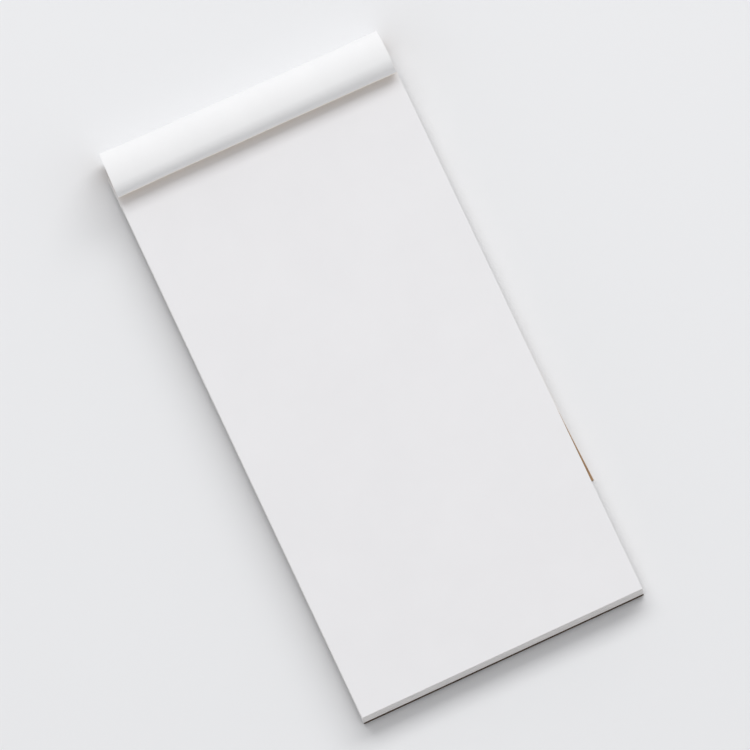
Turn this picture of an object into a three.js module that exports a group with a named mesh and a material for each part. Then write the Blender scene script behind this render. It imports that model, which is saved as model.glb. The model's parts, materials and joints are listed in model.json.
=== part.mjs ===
// A top-bound notepad whose kraft cover is folded back over the head and tucked under the pad.
// The cover is one springy sheet: it leaves the spine along the top leaf, curls up and over the
// head as an open roll, comes down behind it and runs back under the board. The upper leaves can
// be turned up against the roll.
// Millimetres. X runs across the pad, +Y points to the bound head and +Z up from the table.
// The origin lies on the table under the middle of the pad.
import * as THREE from "three";

// Leaves
const padWidth = 100;
const padLength = 198;
const leafCount = 40;
const leafThickness = 0.18;
const leafGap = 0.02;

// The upper leaves that turn bend along a line in front of the roll, each a little further from it
const looseLeaves = 8;
const bendSetback = 2.2;
const bendStagger = 0.3;
const bendSlit = 0.1;

// Back board and the padding glue at the head
const boardThickness = 1;
const boardGap = 0.02;
const glueThickness = 0.3;
const glueGap = 0.02;

// Cover sheet
const coverThickness = 0.36;
const coverWidth = 99;
const coverLength = 203.9;
const coverSideShift = 0.2;
const spineGap = 0.02;
const sheetSeam = 0.02;
const tuckClearance = 0.2;
const foldSlit = 0.2;

// The roll over the head, seen from the side
const rollWidth = 16.1;
const rollOverhang = 8.6;
const curlRadius = 3.9;
const landingClearance = 0.9;
const arcSegments = 16;

// The tucked panel lies a little askew, so that its free right corner shows past the leaves
const panelSideShift = -0.5;
const panelSkew = THREE.MathUtils.degToRad(0.86);

// Heights
const boardBottom = coverThickness + tuckClearance;
const blockBottom = boardBottom + boardThickness + boardGap;
const leafPitch = leafThickness + leafGap;
const blockTop = blockBottom + leafCount * leafPitch - leafGap;
const stripHeight = blockTop + spineGap;
const rollTop = stripHeight + 2 * curlRadius;

// Places along the pad
const headY = padLength / 2;
const footY = -padLength / 2;
const glueY = headY + glueGap;
const spineY = glueY + glueThickness + spineGap;
const spineOuterY = spineY + coverThickness;
const rollFrontY = headY - rollOverhang;
const rollBackY = rollFrontY + rollWidth;
const curlStartY = rollFrontY + curlRadius;
const landingY = spineOuterY + landingClearance;

const halfTurn = Math.PI;
const quarterTurn = Math.PI / 2;
const eighthTurn = Math.PI / 4;

// The last quarter turn sweeps down from the back of the roll to the table.
const sweepRadius = rollBackY - landingY;

// Crown and shoulder are two arcs of an eighth turn each. Together they reach from the top of the
// curl to the back of the roll, so their radii solve two equations: one for the reach, one for the
// drop.
function crownAndShoulder() {
  const reach = rollBackY - curlStartY;
  const drop = rollTop - sweepRadius;
  const long = Math.sin(eighthTurn);
  const short = 1 - long;
  const scale = long * long - short * short;
  const crown = (long * reach - short * drop) / scale;
  const shoulder = (long * drop - short * reach) / scale;
  return [crown, shoulder];
}

// Walks the white outer face of the sheet from the curl to the table, one step per arc. The
// heading is 0 towards the foot and grows as the sheet turns up; the centre of each arc lies on
// the kraft side of the sheet.
function walkRoll() {
  const [crownRadius, shoulderRadius] = crownAndShoulder();
  const arcs = [
    [curlRadius, halfTurn],
    [crownRadius, eighthTurn],
    [shoulderRadius, eighthTurn],
    [sweepRadius, quarterTurn],
  ];
  let y = curlStartY;
  let z = stripHeight;
  let heading = 0;
  return arcs.map(([radius, turn]) => {
    const centreY = y + radius * Math.sin(heading);
    const centreZ = z + radius * Math.cos(heading);
    const step = { radius, turn, heading, centreY, centreZ };
    heading += turn;
    y = centreY - radius * Math.sin(heading);
    z = centreZ - radius * Math.cos(heading);
    return step;
  });
}

const rollSteps = walkRoll();
const rollPath = rollSteps.reduce((sum, step) => sum + step.radius * step.turn, 0);
const gluedStripLength = spineOuterY - curlStartY;
const panelLength = coverLength - gluedStripLength - rollPath;

const paper = new THREE.MeshStandardMaterial({ color: 0xf3f3f2, roughness: 0.85, metalness: 0 });
const kraftBoard = new THREE.MeshStandardMaterial({ color: 0x8a6a4c, roughness: 0.9, metalness: 0 });
const glue = new THREE.MeshStandardMaterial({ color: 0xeeeee8, roughness: 0.5, metalness: 0 });
const kraft = new THREE.MeshStandardMaterial({ color: 0xb98a5e, roughness: 0.9, metalness: 0 });
const coverWhite = new THREE.MeshStandardMaterial({ color: 0xf7f7f7, roughness: 0.8, metalness: 0 });

function named(name, geometry, material) {
  const mesh = new THREE.Mesh(geometry, material);
  mesh.name = name;
  return mesh;
}

// A flat sheet of the pad's width between two places along Y, with its underside at height z.
function flatSheet(name, fromY, toY, z, thickness, material) {
  const mesh = named(name, new THREE.BoxGeometry(padWidth, toY - fromY, thickness), material);
  mesh.position.set(0, (fromY + toY) / 2, z + thickness / 2);
  return mesh;
}

// Leaf 1 is the top leaf. A loose leaf is a margin that stays in the glue and a sheet that turns
// about the upper edge of its bend line.
function leaf(index) {
  const name = "leaf_" + String(index + 1).padStart(2, "0");
  const z = blockTop - leafThickness - index * leafPitch;
  if (index >= looseLeaves) return [flatSheet(name, footY, headY, z, leafThickness, paper)];
  const bendY = rollFrontY - bendSetback - index * bendStagger;
  const marginY = bendY + bendSlit / 2;
  const sheetY = bendY - bendSlit / 2;
  const margin = flatSheet(name + "_margin", marginY, headY, z, leafThickness, paper);
  const sheet = flatSheet(name + "_sheet", footY, sheetY, z, leafThickness, paper);
  sheet.userData.hinge = { y: bendY, z: z + leafThickness };
  return [margin, sheet];
}

// An outline drawn in Y and Z and carried across the cover's width. The quaternion turns the
// outline's x, y and depth onto Y, Z and X.
function acrossCover(name, outline, material) {
  const settings = { depth: coverWidth, bevelEnabled: false, curveSegments: arcSegments };
  const geometry = new THREE.ExtrudeGeometry(outline, settings);
  geometry.translate(0, 0, coverSideShift - coverWidth / 2);
  const mesh = named(name, geometry, material);
  mesh.quaternion.set(0.5, 0.5, 0.5, 0.5);
  return mesh;
}

// The spine strip covers the glued head and turns onto the top leaf as the glued strip there,
// with the sheet's own thickness as the outer radius of the fold.
function coverSpine() {
  const stripEndY = curlStartY + sheetSeam / 2;
  const outline = new THREE.Shape();
  outline.moveTo(spineY, boardBottom);
  outline.lineTo(spineOuterY, boardBottom);
  outline.lineTo(spineOuterY, stripHeight);
  outline.absarc(spineY, stripHeight, coverThickness, 0, quarterTurn, false);
  outline.lineTo(stripEndY, stripHeight + coverThickness);
  outline.lineTo(stripEndY, stripHeight);
  outline.lineTo(spineY, stripHeight);
  outline.closePath();
  return acrossCover("cover_spine", outline, kraft);
}

// Points round the roll at a depth below the white outer face. The first arc starts past the seam
// with the glued strip, and the last one ends before the fold to the panel.
function rollLine(depth) {
  const last = rollSteps.length - 1;
  return rollSteps.flatMap(({ radius, turn, heading, centreY, centreZ }, index) => {
    const from = index === 0 ? sheetSeam / 2 / radius : 0;
    const to = index === last ? turn - foldSlit / 2 / radius : turn;
    const skipped = index === 0 ? 0 : 1;
    return Array.from({ length: arcSegments + 1 - skipped }, (_, i) => {
      const angle = heading + from + ((to - from) * (i + skipped)) / arcSegments;
      const y = centreY - (radius - depth) * Math.sin(angle);
      const z = centreZ - (radius - depth) * Math.cos(angle);
      return new THREE.Vector2(y, z);
    });
  });
}

// The roll is a band between the white outer face and the kraft inner face.
function coverRoll() {
  const outline = new THREE.Shape([...rollLine(0), ...rollLine(coverThickness).reverse()]);
  return acrossCover("cover_roll", outline, coverWhite);
}

// The cut sheet that lies under the board. Its near edge is parallel to the roll, its sides run
// askew towards the foot and its free edge is square to them.
function coverPanel() {
  const nearY = landingY - foldSlit / 2;
  const left = panelSideShift - coverWidth / 2;
  const right = panelSideShift + coverWidth / 2;
  const along = new THREE.Vector2(Math.sin(panelSkew), -Math.cos(panelSkew));
  const leftLength = panelLength + coverWidth * Math.tan(panelSkew);
  const outline = new THREE.Shape();
  outline.moveTo(left, nearY);
  outline.lineTo(left + along.x * leftLength, nearY + along.y * leftLength);
  outline.lineTo(right + along.x * panelLength, nearY + along.y * panelLength);
  outline.lineTo(right, nearY);
  outline.closePath();
  const settings = { depth: coverThickness, bevelEnabled: false };
  const mesh = named("cover_panel", new THREE.ExtrudeGeometry(outline, settings), kraft);
  mesh.userData.hinge = { y: landingY, z: 0 };
  return mesh;
}

// The padding glue is a film over the head of the leaves and the board.
function headGlue() {
  const height = blockTop - boardBottom;
  const mesh = named("head_glue", new THREE.BoxGeometry(padWidth, glueThickness, height), glue);
  mesh.position.set(0, glueY + glueThickness / 2, boardBottom + height / 2);
  return mesh;
}

const notepad = new THREE.Group();
notepad.add(flatSheet("back_board", footY, headY, boardBottom, boardThickness, kraftBoard));
notepad.add(headGlue());
notepad.add(...Array.from({ length: leafCount }, (_, index) => leaf(index)).flat());
notepad.add(coverSpine(), coverRoll(), coverPanel());

export default notepad;
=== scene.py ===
import json
import math

import bpy
import numpy as np
from mathutils import Matrix, Vector


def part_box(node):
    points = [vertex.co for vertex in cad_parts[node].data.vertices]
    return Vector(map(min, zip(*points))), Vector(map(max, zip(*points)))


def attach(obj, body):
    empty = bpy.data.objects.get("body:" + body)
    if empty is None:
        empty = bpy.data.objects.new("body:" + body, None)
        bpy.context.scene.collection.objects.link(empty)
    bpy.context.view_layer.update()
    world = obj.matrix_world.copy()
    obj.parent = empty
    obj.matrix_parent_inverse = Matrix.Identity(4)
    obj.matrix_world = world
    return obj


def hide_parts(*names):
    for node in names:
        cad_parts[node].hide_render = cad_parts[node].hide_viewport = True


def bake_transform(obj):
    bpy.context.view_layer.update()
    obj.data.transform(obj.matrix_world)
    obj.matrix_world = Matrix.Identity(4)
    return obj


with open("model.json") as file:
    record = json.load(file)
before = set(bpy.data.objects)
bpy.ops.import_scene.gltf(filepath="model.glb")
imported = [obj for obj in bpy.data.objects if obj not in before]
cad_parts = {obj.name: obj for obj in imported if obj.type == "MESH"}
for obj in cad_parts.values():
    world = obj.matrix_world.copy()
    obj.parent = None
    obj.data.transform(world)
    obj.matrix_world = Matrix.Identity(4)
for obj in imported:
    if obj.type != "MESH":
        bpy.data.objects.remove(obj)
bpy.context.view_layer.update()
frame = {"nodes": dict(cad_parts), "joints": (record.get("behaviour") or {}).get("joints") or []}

mm = 0.001


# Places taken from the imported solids

stripLow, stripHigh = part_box("cover_spine")
rollLow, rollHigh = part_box("cover_roll")
panelLow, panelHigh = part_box("cover_panel")
leafNames = sorted(name for name in frame["nodes"] if name.startswith("leaf_"))
joints = {joint["child"]: joint for joint in frame["joints"]}

sheetThickness = panelHigh[2] - panelLow[2]
foldY = joints["cover_panel"]["pos_m"][1]
stripZ = stripHigh[2] - sheetThickness
coverWidth = stripHigh[0] - stripLow[0]


# Meshes

def smooth(t):
    # 3 t^2 - 2 t^3, held at 0 and 1 outside
    t = np.clip(t, 0, 1)
    return t * t * (3 - 2 * t)


def makeObject(name, verts, faces, uvs=None, faceSlots=None, materials=(), sharpAngle=40):
    mesh = bpy.data.meshes.new(name)
    mesh.from_pydata(np.asarray(verts).tolist(), [], [list(map(int, f)) for f in faces])
    mesh.polygons.foreach_set("use_smooth", np.ones(len(mesh.polygons), bool))
    for material in materials:
        mesh.materials.append(material)
    if faceSlots is not None:
        mesh.polygons.foreach_set("material_index", np.asarray(faceSlots, np.int32))
    if uvs is not None:
        layer = mesh.uv_layers.new(name="sheet")
        corners = np.zeros(len(mesh.loops), np.int32)
        mesh.loops.foreach_get("vertex_index", corners)
        layer.data.foreach_set("uv", np.asarray(uvs, np.float32)[corners].ravel())
    mesh.set_sharp_from_angle(angle=math.radians(sharpAngle))
    mesh.update()
    piece = bpy.data.objects.new(name, mesh)
    bpy.context.scene.collection.objects.link(piece)
    return piece


def sheetFaces(n, m):
    # Faces of a closed sheet whose first n*m points are one side and whose next n*m points are the
    # other, row by row: the two sides, then the rim round them. The first side faces along
    # column x row.
    a = (np.arange(n - 1)[:, None] * m + np.arange(m - 1)[None, :]).ravel()
    front = np.stack([a, a + 1, a + m + 1, a + m], 1)
    back = np.stack([a, a + m, a + m + 1, a + 1], 1) + n * m
    rim = np.concatenate([
        np.arange(m), np.arange(1, n) * m + m - 1,
        (n - 1) * m + np.arange(m - 2, -1, -1), np.arange(n - 2, 0, -1) * m,
    ])
    following = np.roll(rim, -1)
    side = np.stack([rim, rim + n * m, following + n * m, following], 1)
    faces = np.concatenate([front, back, side])
    kinds = np.concatenate([np.zeros(len(front)), np.ones(len(back)), np.full(len(side), 2)])
    return faces, kinds


# Material helpers

def newMaterial(name, colour, look):
    material = bpy.data.materials.new(name)
    material.use_nodes = True
    shader = material.node_tree.nodes["Principled BSDF"]
    shader.inputs["Base Color"].default_value = (*colour, 1)
    shader.inputs["Roughness"].default_value = look["roughness"]
    shader.inputs["Specular IOR Level"].default_value = look["specular"]
    return material, shader


def join(material, output, target):
    material.node_tree.links.new(output, target)


def coordinates(material, source, scale):
    place = material.node_tree.nodes.new("ShaderNodeTexCoord")
    mapping = material.node_tree.nodes.new("ShaderNodeMapping")
    mapping.inputs["Scale"].default_value = scale
    join(material, place.outputs[source], mapping.inputs["Vector"])
    return mapping.outputs["Vector"]


def noise(material, vector, scale, detail=4.0, roughness=0.55):
    node = material.node_tree.nodes.new("ShaderNodeTexNoise")
    node.inputs["Scale"].default_value = scale
    node.inputs["Detail"].default_value = detail
    node.inputs["Roughness"].default_value = roughness
    join(material, vector, node.inputs["Vector"])
    return node.outputs["Fac"]


def ramp(material, value, stops):
    node = material.node_tree.nodes.new("ShaderNodeValToRGB")
    elements = node.color_ramp.elements
    while len(elements) < len(stops):
        elements.new(0.5)
    for element, (place, colour) in zip(elements, stops):
        element.position = place
        element.color = (*colour, 1)
    join(material, value, node.inputs["Fac"])
    return node.outputs["Color"]


def twoTones(material, shader, value, stops, low, high):
    tone = ramp(material, value, list(zip(stops, (low, high))))
    join(material, tone, shader.inputs["Base Color"])


def mixColours(material, factor, a, b):
    node = material.node_tree.nodes.new("ShaderNodeMix")
    node.data_type = "RGBA"
    join(material, factor, node.inputs[0])
    join(material, a, node.inputs[6])
    join(material, b, node.inputs[7])
    return node.outputs[2]


def bump(material, shader, height, strength, distance):
    node = material.node_tree.nodes.new("ShaderNodeBump")
    node.inputs["Strength"].default_value = strength
    node.inputs["Distance"].default_value = distance
    join(material, height, node.inputs["Height"])
    join(material, node.outputs["Normal"], shader.inputs["Normal"])


# Paper of the leaves

leafPaperLook = {
    "colour": (0.846, 0.838, 0.850),
    "shade": (0.832, 0.824, 0.836),
    "roughness": 0.8,
    "specular": 0.25,
    "cloudScale": 60,
    "stops": (0.3, 0.7),
    "grainScale": 2600,
    "grainStrength": 0.12,
    "grainDepth": 0.02 * mm,
}


def makeLeafPaper():
    # Smooth uncoated paper: a faint cloudy tone and a very fine felt-like grain.
    look = leafPaperLook
    material, shader = newMaterial("leafPaper", look["colour"], look)
    place = coordinates(material, "Object", (1, 1, 1))
    cloud = noise(material, place, look["cloudScale"], 3)
    twoTones(material, shader, cloud, look["stops"], look["shade"], look["colour"])
    grain = noise(material, place, look["grainScale"], 3)
    bump(material, shader, grain, look["grainStrength"], look["grainDepth"])
    return material


leafEdgeLook = {
    "light": (0.90, 0.875, 0.845),
    "dark": (0.73, 0.705, 0.68),
    "roughness": 0.9,
    "specular": 0.15,
    "alongScale": 110,
    "acrossScale": 9000,
    "stops": (0.28, 0.58),
    "streakStrength": 0.25,
    "streakDepth": 0.03 * mm,
}


def makeLeafEdge():
    # The cut edge: fine streaks along the sheets, a little darker between them.
    look = leafEdgeLook
    material, shader = newMaterial("leafEdge", look["light"], look)
    along = look["alongScale"]
    place = coordinates(material, "Object", (along, along, look["acrossScale"]))
    streak = noise(material, place, 1.0, 3)
    twoTones(material, shader, streak, look["stops"], look["dark"], look["light"])
    bump(material, shader, streak, look["streakStrength"], look["streakDepth"])
    return material


# Lining, kraft side and cut edge of the cover

liningLook = {
    "colour": (0.822, 0.820, 0.824),
    "shade": (0.802, 0.800, 0.805),
    "roughness": 0.66,
    "specular": 0.3,
    "stretch": 0.35,  # of the fibres along the sheet
    "cloudScale": 75,
    "stops": (0.3, 0.7),
    "fibreScale": 900,
    "fibreStrength": 0.18,
    "fibreDepth": 0.04 * mm,
}


def makeLining():
    # The white side: smooth, with the card's long fibres faintly under it.
    look = liningLook
    material, shader = newMaterial("coverLining", look["colour"], look)
    place = coordinates(material, "UV", (1, look["stretch"], 1))
    cloud = noise(material, place, look["cloudScale"], 3)
    twoTones(material, shader, cloud, look["stops"], look["shade"], look["colour"])
    fibre = noise(material, place, look["fibreScale"], 4)
    bump(material, shader, fibre, look["fibreStrength"], look["fibreDepth"])
    return material


kraftLook = {
    "base": (0.370, 0.228, 0.122),
    "light": (0.445, 0.290, 0.168),
    "darkFibre": (0.235, 0.130, 0.068),
    "paleFibre": (0.570, 0.412, 0.264),
    "coverTone": 1.0,
    # the board's tone: a near-black brown, partly its own dark brown and partly painted shade for
    # the contact shadow along the foot
    "boardToneWithPaintedShade": 0.16,
    "roughness": 0.85,
    "specular": 0.2,
    "cloudScale": 70,
    "cloudStops": (0.3, 0.72),
    "darkStretch": (1, 0.22, 1),
    "darkScale": 1300,
    "darkStart": 0.55,
    "paleStretch": (0.3, 1, 1),
    "paleScale": 1700,
    "paleStart": 0.59,
    "fibreFade": 0.10,
    "fibreShare": 0.55,
    "reliefScale": 1800,
    "reliefStrength": 0.35,
    "reliefDepth": 0.04 * mm,
}


def makeKraft(name, toneScale, source):
    # Unbleached card: a cloudy brown with pale and dark fibres laid along and across the sheet.
    look = kraftLook
    tint = {key: tuple(c * toneScale for c in look[key])
            for key in ("base", "light", "darkFibre", "paleFibre")}
    material, shader = newMaterial(name, tint["base"], look)
    along = coordinates(material, source, look["darkStretch"])
    across = coordinates(material, source, look["paleStretch"])
    plain = coordinates(material, source, (1, 1, 1))
    cloud = noise(material, plain, look["cloudScale"], 4)
    tone = ramp(material, cloud, list(zip(look["cloudStops"], (tint["base"], tint["light"]))))
    share = (look["fibreShare"],) * 3
    for place, scale, colour, start in (
        (along, look["darkScale"], tint["darkFibre"], look["darkStart"]),
        (across, look["paleScale"], tint["paleFibre"], look["paleStart"]),
    ):
        fibre = noise(material, place, scale, 5, 0.7)
        mask = ramp(material, fibre, [(start, (0, 0, 0)), (start + look["fibreFade"], share)])
        flat = ramp(material, cloud, [(0.0, colour), (1.0, colour)])
        tone = mixColours(material, mask, tone, flat)
    join(material, tone, shader.inputs["Base Color"])
    relief = noise(material, along, look["reliefScale"], 5, 0.65)
    bump(material, shader, relief, look["reliefStrength"], look["reliefDepth"])
    return material


cardEdgeLook = {
    "dark": (0.42, 0.29, 0.19),
    "light": (0.62, 0.47, 0.33),
    "stops": (0.3, 0.7),
    "roughness": 0.9,
    "specular": 0.15,
    "layers": (250, 250, 2500),
}


def makeCardEdge():
    # The cut edge of the card: brown core with fine layers.
    look = cardEdgeLook
    material, shader = newMaterial("cardEdge", look["light"], look)
    place = coordinates(material, "Object", look["layers"])
    layers = noise(material, place, 3, 4)
    twoTones(material, shader, layers, look["stops"], look["dark"], look["light"])
    return material


creaseHighlightAndShadeLook = {
    # score: light cream, partly worn coating and partly a painted highlight lighter than the lining
    "score": ((0.88, 0.83, 0.75), (0.94, 0.91, 0.86)),
    # hinge: darker cream-kraft under the curl, painted shade that also darkens and warms the shadow
    # under the roll
    "hinge": ((0.78, 0.64, 0.49), (0.86, 0.75, 0.61)),
    "stops": (0.3, 0.6),
    "roughness": 0.75,
    "specular": 0.2,
    "wearScale": 900,
}


def makeCreaseHighlightAndShade(name):
    # Two creased bands of the cover, each a random mottle between two tones. The score line gets a
    # light cream, partly worn coating and partly a painted highlight, lighter than the lining,
    # where the crease catches the light. The hinge below it, under the curl, gets a darker
    # cream-kraft: painted shade that also darkens and warms the shadow under the roll.
    lowTone, highTone = creaseHighlightAndShadeLook[name]
    material, shader = newMaterial(name, highTone, creaseHighlightAndShadeLook)
    place = coordinates(material, "UV", (1, 1, 1))
    wear = noise(material, place, creaseHighlightAndShadeLook["wearScale"], 3)
    twoTones(material, shader, wear, creaseHighlightAndShadeLook["stops"], lowTone, highTone)
    return material


glueLook = {
    "dark": (0.72, 0.71, 0.66),
    "light": (0.82, 0.81, 0.78),
    "stops": (0.3, 0.7),
    "roughness": 0.45,
    "specular": 0.45,
    "brush": (40, 400, 1600),
    "brushStrength": 0.4,
    "brushDepth": 0.1 * mm,
}


def makeGlue():
    # Padding compound brushed on the head: slightly glossy, with brush lines across.
    look = glueLook
    material, shader = newMaterial("headGlue", look["light"], look)
    place = coordinates(material, "Object", look["brush"])
    brush = noise(material, place, 1.0, 4)
    twoTones(material, shader, brush, look["stops"], look["dark"], look["light"])
    bump(material, shader, brush, look["brushStrength"], look["brushDepth"])
    return material


leafPaper = makeLeafPaper()
leafEdge = makeLeafEdge()
coverLining = makeLining()
coverKraft = makeKraft("coverKraft", kraftLook["coverTone"], "UV")
# the board's near-black brown: partly its own colour, partly painted shade for the contact shadow
# under the foot
boardKraftWithPaintedShade = makeKraft("boardKraftWithPaintedShade", kraftLook["boardToneWithPaintedShade"], "Object")
cardEdge = makeCardEdge()
headGlue = makeGlue()
# the first three follow the kinds of sheetFaces: white side, kraft side, rim
# the score's material carries a painted highlight, the hinge's material painted shade
coverMaterials = (coverLining, coverKraft, cardEdge, makeCreaseHighlightAndShade("score"), makeCreaseHighlightAndShade("hinge"))
print("materials made")


# The cover: one sheet in three pieces that meet where it bends

rollLook = {
    "curlRadius": 3.9 * mm,
    "sweepRadius": rollHigh[1] - foldY,
    "rowStep": 0.28 * mm,
    "scoreRows": 34,
    "stripRows": 12,
    "cornerRows": 8,
    "columns": 96,
    # the sheet's two side edges in mm, by its heading round the roll in degrees
    "headings": [0, 60, 90, 120, 150, 180, 225, 270, 315, 360],
    "leftEdge": [-49.30, -49.82, -50.02, -50.10, -50.12, -50.04, -49.60, -49.00, -48.70, -48.50],
    "rightEdge": [49.70, 49.66, 49.62, 49.52, 49.46, 49.62, 49.56, 49.62, 49.20, 48.95],
    "bow": 2.2,
    "waves": 0.04 * mm,
    "waveCounts": (1.3, 2.9),
    "waveDrift": 60 * mm,
    "waveStart": 5 * mm,
    "waveEnd": (9 * mm, 8 * mm),
    "flare": 0.03 * mm,
    "flareShare": 0.08,
    # how much further than the arcs the roll reaches to the front and back, at its left end, and
    # what the right end adds
    "frontReach": (-0.48 * mm, 0.75 * mm),
    "frontLean": 0.9,
    "backReach": (1.60 * mm, -1.30 * mm),
    # the score line, this far round from where the curl starts: a small pinched lip with a painted
    # highlight along it; below it the lining has a darker cream-kraft tone, painted shade under the
    # curl
    "score": 5.45 * mm,
    "scoreWidth": 0.40 * mm,
    "lip": 0.26 * mm,
    "lipWidth": 0.30 * mm,
}


def rollArcs():
    # Curl, crown, shoulder and sweep as (radius, turn). The crown and shoulder turn an eighth each
    # and share the reach to the back and the drop to the sweep:
    #   reach = crown sin45 + shoulder (1 - cos45),  drop = crown (1 - cos45) + shoulder sin45
    curl, sweep = rollLook["curlRadius"], rollLook["sweepRadius"]
    reach = rollHigh[1] - (rollLow[1] + curl)
    drop = rollHigh[2] - sweep
    a, b = math.sin(math.pi / 4), 1 - math.sin(math.pi / 4)
    crown = (a * reach - b * drop) / (a * a - b * b)
    shoulder = (a * drop - b * reach) / (a * a - b * b)
    return [(curl, math.pi), (crown, math.pi / 4), (shoulder, math.pi / 4), (sweep, math.pi / 2)]


arcs = np.array(rollArcs())
arcStarts = np.concatenate([[0], np.cumsum(arcs[:, 0] * arcs[:, 1])])
arcHeadings = np.concatenate([[0], np.cumsum(arcs[:, 1])])
rollLength = arcStarts[-1]
curlStartY = rollLow[1] + rollLook["curlRadius"]


def arcCentres():
    # centre = start + radius (sin heading, cos heading), and each arc ends where the next begins
    y, z, places = curlStartY, stripZ, []
    for (radius, turn), heading in zip(arcs, arcHeadings):
        cy, cz = y + radius * math.sin(heading), z + radius * math.cos(heading)
        places.append((cy, cz))
        y = cy - radius * math.sin(heading + turn)
        z = cz - radius * math.cos(heading + turn)
    return np.array(places)


centres = arcCentres()


def sheetPath(s):
    # s runs along the white face: 0 where the curl starts, round the roll, and on along the table
    # towards the foot. On an arc the point is centre - radius (sin heading, cos heading).
    k = np.clip(np.searchsorted(arcStarts, s, side="right") - 1, 0, 3)
    u = np.clip(s - arcStarts[k], 0, arcs[k, 0] * arcs[k, 1])
    heading = arcHeadings[k] + u / arcs[k, 0]
    y = centres[k, 0] - arcs[k, 0] * np.sin(heading) - np.maximum(s - rollLength, 0)
    z = centres[k, 1] - arcs[k, 0] * np.cos(heading)
    return y, z, heading


panelPoints = np.zeros(len(frame["nodes"]["cover_panel"].data.vertices) * 3)
frame["nodes"]["cover_panel"].data.vertices.foreach_get("co", panelPoints)
panelPoints = panelPoints.reshape(-1, 3)
freeRight = panelPoints[np.argmax(panelPoints[:, 0])]
freeLeft = panelPoints[np.argmin(panelPoints[:, 1])]


def sideEdges(s, heading):
    # Round the roll the two side edges follow the settings by heading. Beyond it the left one runs
    # straight to the panel's free corner, and the right one in a bow:
    #   x = x0 + (x1 - x0) (distance / length)^bow
    look = rollLook
    degrees = np.degrees(heading)
    left = np.interp(degrees, look["headings"], look["leftEdge"]) * mm
    right = np.interp(degrees, look["headings"], look["rightEdge"]) * mm
    beyond = np.maximum(s - rollLength, 0)
    leftShare = beyond / (foldY - freeLeft[1])
    rightShare = beyond / (foldY - freeRight[1])
    left = left + leftShare * (freeLeft[0] - look["leftEdge"][-1] * mm)
    right = right + rightShare ** look["bow"] * (freeRight[0] - look["rightEdge"][-1] * mm)
    return left, right


def unevenness(s, t):
    # A hand-bent roll is never a true cylinder: long shallow waves along it, and both ends opened
    # a little. Negative values lie outside the true arc. t runs from 0 to 1 across the sheet.
    look = rollLook
    fadeFrom, fadeOver = look["waveEnd"]
    fade = smooth((s - rollLength + fadeFrom) / fadeOver)
    inRoll = smooth(s / look["waveStart"]) * (1 - fade)
    long, short = look["waveCounts"]
    wave = np.sin(2 * np.pi * (long * t + 0.11))
    wave = wave + 0.6 * np.sin(2 * np.pi * (short * t + 0.4 + s / look["waveDrift"]))
    share = look["flareShare"]
    ends = smooth((np.abs(t - 0.5) - (0.5 - share)) / share)
    return inRoll * (look["waves"] * wave - look["flare"] * ends)


def reach(heading, t):
    # The curl leans forward low down and the back bulges, more at one end than at the other:
    #   front: a sin h (1 + lean cos h),  a = a0 + a1 t^2
    #   back: b sin h,  b = b0 + b1 (1 - (1 - t)^2)
    a0, a1 = rollLook["frontReach"]
    b0, b1 = rollLook["backReach"]
    lean = 1 + rollLook["frontLean"] * np.cos(heading)
    front = (a0 + a1 * t * t) * np.sin(heading) * lean
    back = (b0 + b1 * (1 - (1 - t) ** 2)) * np.sin(heading)
    return np.where(heading < np.pi, front, back)


def sheetPoints(s, t, depth):
    # white face + (depth + unevenness) (sin heading, cos heading) towards the kraft side, and the
    # lip as a bell: lip exp(-((s - score) / width)^2)
    s, t = np.broadcast_arrays(s, t)
    y, z, heading = sheetPath(s)
    lip = rollLook["lip"] * np.exp(-((s - rollLook["score"]) / rollLook["lipWidth"]) ** 2)
    y = y - reach(heading, t) - lip
    left, right = sideEdges(s, heading)
    lift = depth + unevenness(s, t)
    x = left + (right - left) * t
    return np.stack([x, y + np.sin(heading) * lift, z + np.cos(heading) * lift], -1)


def sheetPiece(name, s, t):
    # A closed stretch of the sheet: s[row, column] or s[row, 1] along it, t across it.
    white = sheetPoints(s, t, 0)
    kraft = sheetPoints(s, t, sheetThickness)
    faces, kinds = sheetFaces(*white.shape[:2])
    uv = np.stack(np.broadcast_arrays(t * coverWidth, s), -1).reshape(-1, 2)
    verts = np.concatenate([white.reshape(-1, 3), kraft.reshape(-1, 3)])
    return makeObject(name, verts, faces, np.concatenate([uv, uv]), kinds, coverMaterials)


foldIn = 1.6 * mm  # how far the bend at the joint reaches into the roll
foldOut = 3.0 * mm  # and into the panel
across = np.linspace(0, 1, rollLook["columns"] + 1)[None, :]


def rollRows():
    # Places along the roll, close together 1 mm either side of the score.
    end, score = rollLength - foldIn, rollLook["score"]
    beyond = int(math.ceil((end - score) / rollLook["rowStep"]))
    return np.concatenate([
        np.linspace(0, score - 1 * mm, 18),
        score + np.linspace(-1 * mm, 1 * mm, rollLook["scoreRows"])[1:],
        np.linspace(score + 1 * mm, end, beyond)[1:],
    ])[:, None]


def spineProfiles():
    # The spine's white and kraft side as (y, z): up the glued face, a quarter circle of the sheet's
    # thickness over the corner, along the leaf.
    glued = stripHigh[1] - sheetThickness
    corner = np.linspace(0, np.pi / 2, rollLook["cornerRows"])[1:]
    upZ = np.linspace(stripLow[2], stripZ, rollLook["stripRows"])
    alongY = np.linspace(glued, curlStartY, rollLook["stripRows"])[1:-1]
    # the white side's corner is one line, so its repeated rows stand a hair apart
    hair = np.linspace(0, 0.004 * mm, rollLook["cornerRows"])[1:]
    whiteYZ = [(glued, z) for z in upZ] + [(glued - h, stripZ) for h in hair]
    whiteYZ += [(y, stripZ) for y in alongY]
    kraftYZ = [(stripHigh[1], z) for z in upZ]
    kraftYZ += [(glued + sheetThickness * math.cos(a), stripZ + sheetThickness * math.sin(a))
                for a in corner]
    kraftYZ += [(y, stripZ + sheetThickness) for y in alongY]
    return whiteYZ, kraftYZ


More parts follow.
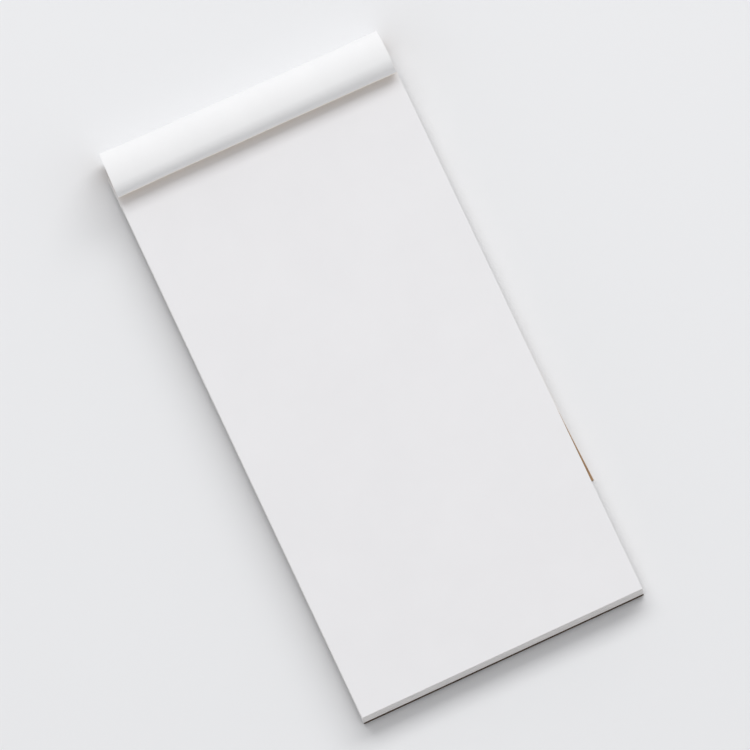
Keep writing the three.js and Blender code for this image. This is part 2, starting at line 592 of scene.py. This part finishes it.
def rollPiece():
    # The spine comes first, as rows of its own before the path.
    s, score = rollRows(), rollLook["score"]
    whiteYZ, kraftYZ = spineProfiles()
    left, right = rollLook["leftEdge"][0] * mm, rollLook["rightEdge"][0] * mm
    x = left + (right - left) * across[0]
    sides = []
    for profile, depth in ((whiteYZ, 0), (kraftYZ, sheetThickness)):
        profile = np.array(profile)
        lead = np.zeros((len(profile), len(x), 3))
        lead[:, :, 0] = x[None, :]
        lead[:, :, 1:] = profile[:, None, :]
        sides.append(np.concatenate([lead, sheetPoints(s, across, depth)]))
    white, kraft = sides
    step = np.linalg.norm(np.diff(kraft[:, 0, 1:], axis=0), axis=1)
    run = np.concatenate([[0], np.cumsum(step)])[:len(kraftYZ) + 1]
    v = np.concatenate([run[:-1] - run[-1], s[:, 0]])[:, None]
    faces, kinds = sheetFaces(*white.shape[:2])
    uv = np.stack(np.broadcast_arrays(across * coverWidth, v), -1).reshape(-1, 2)
    verts = np.concatenate([white.reshape(-1, 3), kraft.reshape(-1, 3)])
    # The hinge below the score line (4) takes the darker cream-kraft tone painted as shade, the
    # line itself (3) the light cream, partly worn coating and partly painted highlight, and the
    # rest of this side (0) the plain lining. The number is the material's place in coverMaterials.
    middle = (np.repeat((v[:-1, 0] + v[1:, 0]) / 2, len(x) - 1) - score) / rollLook["scoreWidth"]
    kinds[:len(middle)] = np.where(middle > 1, 0, np.where(middle < 0, 4, 3))
    uvs = np.concatenate([uv, uv])
    piece = makeObject("coverRoll", verts, faces, uvs, kinds, coverMaterials)
    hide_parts("cover_spine", "cover_roll")
    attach(piece, "pad")


def foldPiece():
    # The bend between the roll and the panel, a little stretch either side of the joint.
    s = np.linspace(rollLength - foldIn, rollLength + foldOut, 24)[:, None]
    piece = sheetPiece("coverFold", s, across)
    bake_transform(piece)


def panelPiece():
    # The rows run from the fold to the free edge, which is square to the skewed side.
    rightLength = foldY - freeRight[1] - foldOut
    leftLength = foldY - freeLeft[1] - foldOut
    share = np.linspace(0, 1, 61)[:, None]
    t = np.linspace(0, 1, 41)[None, :]
    s = rollLength + foldOut + share * (leftLength + (rightLength - leftLength) * t)
    piece = sheetPiece("coverPanel", s, t)
    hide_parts("cover_panel")
    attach(piece, "cover_panel")


rollPiece()
foldPiece()
panelPiece()
print("cover made")


# Leaves: each solid of the block stands for two sheets

leafLook = {
    "sheetsEach": 2,
    "sideScatter": 0.05 * mm,
    "footScatter": 0.05 * mm,
    "air": 0.014 * mm,
    "bend": 4.0 * mm,
    "bendRows": 25,
    "flatRows": 10,
    "columns": 9,
    "lean": 0.15 * mm,  # how far the lowest leaf stands out past the top one at the foot
}
scatter = np.random.default_rng(8)
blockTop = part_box(leafNames[0])[1][2]
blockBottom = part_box(leafNames[-1])[0][2]


def leafRows(low, high, bendY):
    # Places along the sheet: few where it is flat, close together where it bends.
    if bendY is None:
        return np.linspace(low, high, 4)
    bend = leafLook["bend"]
    flat = np.linspace(low, bendY - bend, leafLook["flatRows"])
    bent = np.linspace(bendY - bend, bendY, leafLook["bendRows"])
    return np.concatenate([flat[:-1], bent, [(bendY + high) / 2, high]])


def leafSheet(low, high, rows):
    columns = np.linspace(low[0], high[0], leafLook["columns"])
    gy, gx = np.meshgrid(rows, columns, indexing="ij")
    top = np.stack([gx, gy, np.full_like(gx, high[2])], -1)
    under = top.copy()
    under[:, :, 2] = low[2]
    faces, kinds = sheetFaces(*gx.shape)
    return np.concatenate([top.reshape(-1, 3), under.reshape(-1, 3)]), faces, kinds


def leafPiece(name, nodes, body):
    boxes = [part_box(node) for node in nodes]
    low = np.min([b[0] for b in boxes], axis=0)
    high = np.max([b[1] for b in boxes], axis=0)
    bendY = joints[body]["pos_m"][1] if body != "pad" else None
    count = leafLook["sheetsEach"]
    each = (high[2] - low[2]) / count
    verts, faces, kinds, base = [], [], [], 0
    for i in range(count):
        side, foot = scatter.uniform(-1, 1, 2) * [leafLook["sideScatter"], leafLook["footScatter"]]
        lean = leafLook["lean"] * (blockTop - low[2] - i * each) / (blockTop - blockBottom)
        a = low + [side, foot - lean, i * each + leafLook["air"] * (i > 0)]
        b = np.array([high[0] + side, high[1], low[2] + (i + 1) * each])
        v, f, k = leafSheet(a, b, leafRows(a[1], b[1], bendY))
        verts.append(v)
        faces.append(f + base)
        kinds.append(k == 2)
        base += len(v)
    piece = makeObject(name, np.concatenate(verts), np.concatenate(faces), None,
                       np.concatenate(kinds), (leafPaper, leafEdge))
    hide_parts(*nodes)
    if body == "pad":
        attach(piece, "pad")
    else:
        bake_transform(piece)


for number in sorted({name[5:7] for name in leafNames}):
    parts = [name for name in leafNames if name[5:7] == number]
    leafPiece("leaf" + number, parts, "leaf_" + number if len(parts) > 1 else "pad")
print("leaves made")


# Board and glue

boardLook = {"proud": 0.45 * mm}  # past the top leaf at the foot


def boardPiece():
    # A flat sheet whose foot edge stands out a little past the lowest leaf. Its very dark brown is
    # partly the board's own colour and partly painted shade for the contact shadow under the foot.
    low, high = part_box("back_board")
    rows = np.linspace(low[1] - boardLook["proud"], high[1], 5)
    gy, gx = np.meshgrid(rows, np.linspace(low[0], high[0], 4), indexing="ij")
    top = np.stack([gx, gy, np.full_like(gx, high[2])], -1).reshape(-1, 3)
    under = top - [0, 0, high[2] - low[2]]
    faces, kinds = sheetFaces(*gx.shape)
    piece = makeObject("backBoard", np.concatenate([top, under]), faces, materials=(boardKraftWithPaintedShade,))
    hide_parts("back_board")
    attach(piece, "pad")


boardPiece()
glueSolid = frame["nodes"]["head_glue"]
glueSolid.data.materials.clear()
glueSolid.data.materials.append(headGlue)


# Table, light and camera

tableLook = {
    "colour": (0.845, 0.848, 0.860),
    "roughness": 0.75,
    "specular": 0.2,
    "size": 14.0,
    "drop": 0.02 * mm,  # below the part's lowest face
}


def makeTable():
    half = tableLook["size"] / 2
    corners = [[-half, -half], [half, -half], [half, half], [-half, half]]
    verts = np.array([[x, y, -tableLook["drop"]] for x, y in corners])
    material, shader = newMaterial("tableTop", tableLook["colour"], tableLook)
    makeObject("table", verts, [[0, 1, 2, 3]], materials=(material,))


lightLook = {
    "direction": (0.38, 0.69, 1.0),
    "distance": 3.6,
    "width": 5.5,
    "height": 1.7,
    "power": 96.5,
    "sky": 0.405,
    "skyColour": (0.985, 0.99, 1),
    "horizon": 2.0,  # how much brighter the sky is at the horizon than overhead
    "backdrop": 0.84,
}


def makeLight():
    # A window behind the head, wide across the pad.
    look = lightLook
    lamp = bpy.data.lights.new("window", "AREA")
    lamp.shape = "RECTANGLE"
    lamp.size, lamp.size_y = look["width"], look["height"]
    lamp.energy = look["power"]
    holder = bpy.data.objects.new("window", lamp)
    bpy.context.scene.collection.objects.link(holder)
    away = Vector(look["direction"]).normalized()
    along = (Vector((1, 0, 0)) - away * away.x).normalized()
    place = Matrix((along, away.cross(along), away)).transposed().to_4x4()
    place.translation = away * look["distance"]
    holder.matrix_world = place


def makeSky():
    # Pale light from everywhere, stronger from the sides: sky (1 + horizon (1 - z)^2) for a
    # direction's height z. What the camera or a glossy surface sees of it is even.
    world = bpy.data.worlds.new("room")
    world.use_nodes = True
    nodes, links = world.node_tree.nodes, world.node_tree.links
    light = nodes["Background"]
    light.inputs["Color"].default_value = (*lightLook["skyColour"], 1)
    place = nodes.new("ShaderNodeTexCoord")
    parts = nodes.new("ShaderNodeSeparateXYZ")
    links.new(place.outputs["Generated"], parts.inputs[0])
    last = parts.outputs["Z"]
    for operation, value in (
        ("MAXIMUM", 0), ("SUBTRACT", 1), ("POWER", 2),
        ("MULTIPLY", lightLook["horizon"]), ("ADD", 1), ("MULTIPLY", lightLook["sky"]),
    ):
        step = nodes.new("ShaderNodeMath")
        step.operation = operation
        step.inputs[1].default_value = value
        links.new(last, step.inputs[0])
        last = step.outputs[0]
    links.new(last, light.inputs["Strength"])
    seen = nodes.new("ShaderNodeBackground")
    seen.inputs["Color"].default_value = (*lightLook["skyColour"], 1)
    seen.inputs["Strength"].default_value = lightLook["backdrop"]
    rays = nodes.new("ShaderNodeLightPath")
    either = nodes.new("ShaderNodeMath")
    either.operation = "MAXIMUM"
    links.new(rays.outputs["Is Camera Ray"], either.inputs[0])
    links.new(rays.outputs["Is Glossy Ray"], either.inputs[1])
    mix = nodes.new("ShaderNodeMixShader")
    links.new(either.outputs[0], mix.inputs[0])
    links.new(light.outputs[0], mix.inputs[1])
    links.new(seen.outputs[0], mix.inputs[2])
    links.new(mix.outputs[0], nodes["World Output"].inputs["Surface"])
    bpy.context.scene.world = world


cameraLook = {
    "target": (1.68 * mm, 4.22 * mm, 0),
    "tilt": math.radians(12.082),
    "azimuth": math.radians(-103.42),
    "imageTurn": math.radians(24.773),
    "distance": 6.0,
    "sensor": 36,
    "lens": 18437 / 750 * 36,  # 18437 px in a picture of 750 px, on the sensor's 36 mm
}


def makeCamera():
    # The camera looks down at the target, leaning by tilt towards azimuth. The image's upright is
    # the pad's head direction, turned by imageTurn.
    look = cameraLook
    tilt, azimuth, turn = look["tilt"], look["azimuth"], look["imageTurn"]
    lean = math.sin(tilt)
    back = Vector((lean * math.cos(azimuth), lean * math.sin(azimuth), math.cos(tilt)))
    upright = Vector((math.sin(turn), math.cos(turn), 0))
    right = (-back).cross(upright).normalized()
    up = right.cross(-back)
    data = bpy.data.cameras.new("camera")
    data.sensor_width = look["sensor"]
    data.lens = look["lens"]
    data.clip_start, data.clip_end = 0.1, 50
    holder = bpy.data.objects.new("camera", data)
    bpy.context.scene.collection.objects.link(holder)
    place = Matrix((right, up, back)).transposed().to_4x4()
    place.translation = Vector(look["target"]) + back * look["distance"]
    holder.matrix_world = place
    bpy.context.scene.camera = holder


makeTable()
makeLight()
makeSky()
makeCamera()
bpy.context.scene.view_settings.view_transform = "Standard"
print("scene set")
